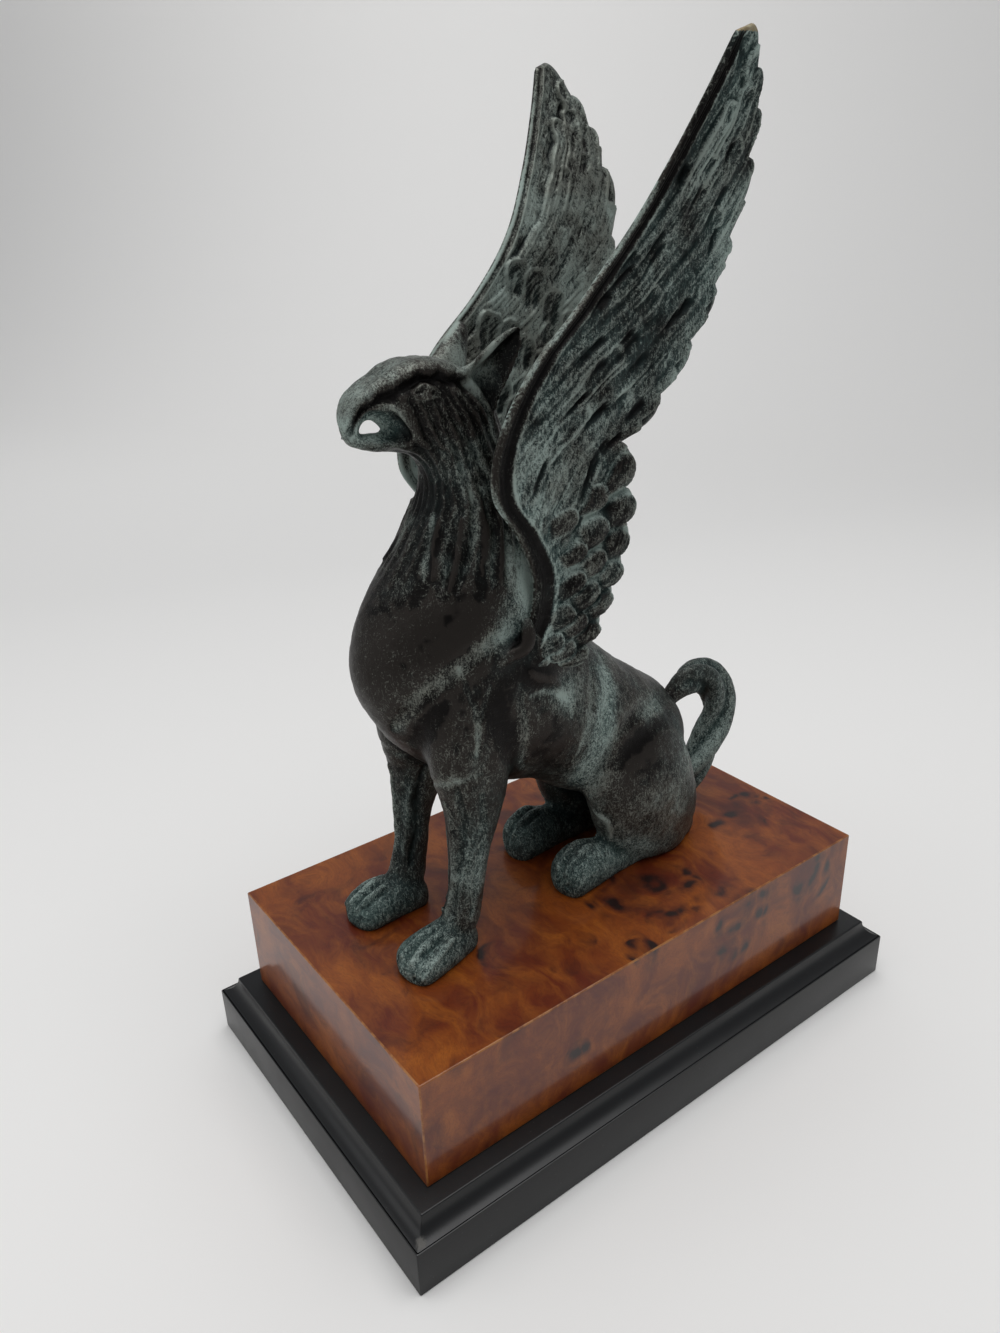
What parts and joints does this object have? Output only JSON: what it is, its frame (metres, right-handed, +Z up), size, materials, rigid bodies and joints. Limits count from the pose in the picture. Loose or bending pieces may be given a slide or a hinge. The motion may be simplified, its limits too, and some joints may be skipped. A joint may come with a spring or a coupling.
{
  "type": "griffin statue",
  "caption": "Seated winged griffin in patinated bronze with raised wings and a looped tail, on a burl-veneered block over a black moulded base.",
  "frame": {"origin": "middle of the base's underside", "axes": "+Z up, the griffin faces -Y, +X to its left"},
  "size_m": [0.1416, 0.2246, 0.335],
  "materials": {
    "bronze": "hollow cast bronze, dark brown with blue-green patina in the carving",
    "burl_veneer": "satin lacquered burl veneer",
    "black_lacquer": "satin black lacquer"
  },
  "bodies": {
    "root": {"griffin": "bronze", "burl_block": "burl_veneer", "black_base": "black_lacquer"}
  },
  "joints": []
}
